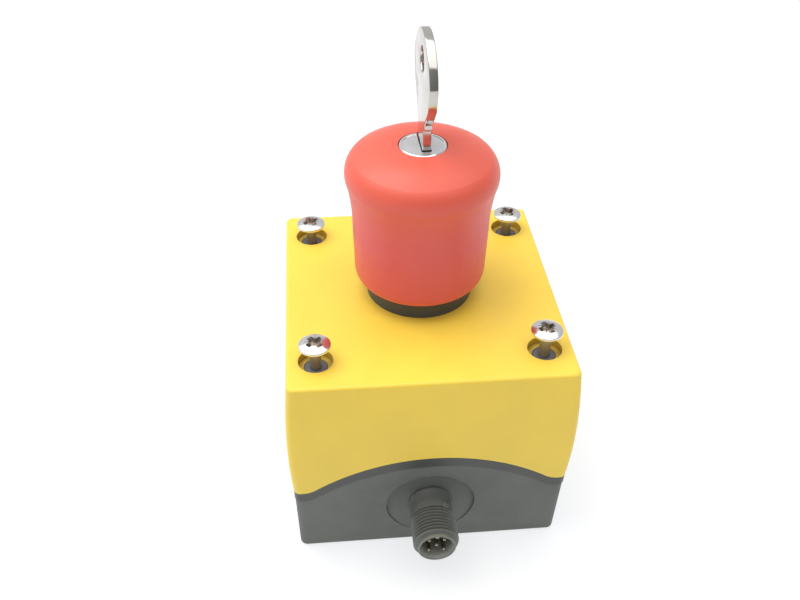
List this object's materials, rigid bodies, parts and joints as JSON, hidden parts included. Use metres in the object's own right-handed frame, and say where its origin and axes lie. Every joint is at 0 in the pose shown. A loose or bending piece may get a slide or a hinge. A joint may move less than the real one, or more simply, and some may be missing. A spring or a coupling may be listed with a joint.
{
  "type": "emergency stop button",
  "caption": "Emergency stop button: red mushroom head with a key-released lock on a yellow and black surface enclosure, with a round plug connector in its front wall.",
  "frame": {"origin": "centre of the enclosure's flat mounting face, on the wall or table surface", "axes": "+Z along the push axis, out of the mounting face towards the mushroom head; the plug connector points along -Y; +X to the right seen from the connector side"},
  "size_m": [0.074, 0.0903, 0.1328],
  "materials": {
    "yellow_plastic": "fine satin moulding",
    "black_plastic": "fine spark-eroded grain",
    "red_plastic": "smooth satin moulding",
    "collar_plastic": "smooth satin",
    "connector_plastic": "half gloss",
    "black_rubber": "matt",
    "screw_steel": "polished stainless",
    "nickel": "bright nickel plate",
    "lock_metal": "satin nickel",
    "spring_steel": "bright drawn wire",
    "brass": "bright",
    "contact_silver": "silver plated",
    "grey_plastic": "moulded",
    "white_plastic": "moulded",
    "pin_gold": "gold flash",
    "lead_insulation": "soft pvc"
  },
  "bodies": {
    "enclosure": {"enclosure_base": "black_plastic", "enclosure_cover": "yellow_plastic", "cover_seal": "black_rubber", "collar_seal": "black_rubber", "collar_ring": "collar_plastic", "threaded_bushing": "grey_plastic", "ring_nut": "grey_plastic", "bellows_seal": "black_rubber", "head_return_spring": "spring_steel", "contact_carrier": "black_plastic", "carrier_screws": "screw_steel", "connector_body": "connector_plastic", "connector_seal": "black_rubber", "connector_nut": "brass", "connector_insert": "connector_plastic", "contact_pins": "pin_gold", "lead_front_left": "lead_insulation", "lead_back_left": "lead_insulation", "lead_front_right": "lead_insulation", "lead_back_right": "lead_insulation", "contact_block_left": "grey_plastic", "fixed_contacts_left": "contact_silver", "terminal_screws_left": "screw_steel", "return_spring_left": "spring_steel", "contact_block_right": "grey_plastic", "fixed_contacts_right": "contact_silver", "terminal_screws_right": "screw_steel", "return_spring_right": "spring_steel"},
    "push_head": {"mushroom_head": "red_plastic", "lock_stator": "lock_metal", "lock_nut": "brass", "plunger_sleeve": "white_plastic", "pusher_plate": "white_plastic", "latch_spring": "spring_steel"},
    "lock_core": {"lock_plug": "brass", "wafer_tumblers": "brass", "plug_clip": "spring_steel", "lock_face_plate": "lock_metal", "release_spindle": "lock_metal", "plug_return_spring": "spring_steel"},
    "key": {"key": "nickel"},
    "latch": {"locking_latch": "lock_metal"},
    "contact_left": {"contact_plunger_left": "white_plastic", "contact_bridge_left": "contact_silver", "contact_spring_left": "spring_steel"},
    "contact_right": {"contact_plunger_right": "white_plastic", "contact_bridge_right": "contact_silver", "contact_spring_right": "spring_steel"},
    "screw_front_left": {"cover_screw_front_left": "screw_steel"},
    "screw_front_right": {"cover_screw_front_right": "screw_steel"},
    "screw_back_left": {"cover_screw_back_left": "screw_steel"},
    "screw_back_right": {"cover_screw_back_right": "screw_steel"}
  },
  "joints": [
    {"name": "head_push", "type": "slide", "parent": "enclosure", "child": "push_head", "axis": [0, 0, -1], "range_m": [0, 0.0044], "stiffness_N_per_m": 3000, "springref_m": -0.004, "deforming": ["head_return_spring", "bellows_seal"]},
    {"name": "key_turn", "type": "hinge", "parent": "push_head", "child": "lock_core", "pos_m": [0, 0.0014, 0.1034], "axis": [0, 0, -1], "range_deg": [0, 60], "stiffness_Nm_per_rad": 0.02, "springref_deg": -17.19},
    {"name": "key_withdraw", "type": "slide", "parent": "lock_core", "child": "key", "axis": [0, 0, 1], "range_m": [0, 0.024]},
    {"name": "latch_retract", "type": "slide", "parent": "push_head", "child": "latch", "axis": [-1, 0, 0], "range_m": [0, 0.0019]},
    {"name": "contact_left_open", "type": "slide", "parent": "enclosure", "child": "contact_left", "axis": [0, 0, -1], "range_m": [0, 0.0044], "deforming": ["return_spring_left"]},
    {"name": "contact_right_open", "type": "slide", "parent": "enclosure", "child": "contact_right", "axis": [0, 0, -1], "range_m": [0, 0.0044], "deforming": ["return_spring_right"]},
    {"name": "screw_front_left_drive", "type": "slide", "parent": "enclosure", "child": "screw_front_left", "axis": [0, 0, -1], "range_m": [0, 0.0065]},
    {"name": "screw_front_right_drive", "type": "slide", "parent": "enclosure", "child": "screw_front_right", "axis": [0, 0, -1], "range_m": [0, 0.0073]},
    {"name": "screw_back_left_drive", "type": "slide", "parent": "enclosure", "child": "screw_back_left", "axis": [0, 0, -1], "range_m": [0, 0.0056]},
    {"name": "screw_back_right_drive", "type": "slide", "parent": "enclosure", "child": "screw_back_right", "axis": [0, 0, -1], "range_m": [0, 0.0061]}
  ],
  "couplings": [
    {"joint": "latch_retract", "follows": "key_turn", "m_per_rad": 0.0018},
    {"joint": "contact_left_open", "follows": "head_push", "ratio": 1},
    {"joint": "contact_right_open", "follows": "head_push", "ratio": 1}
  ]
}
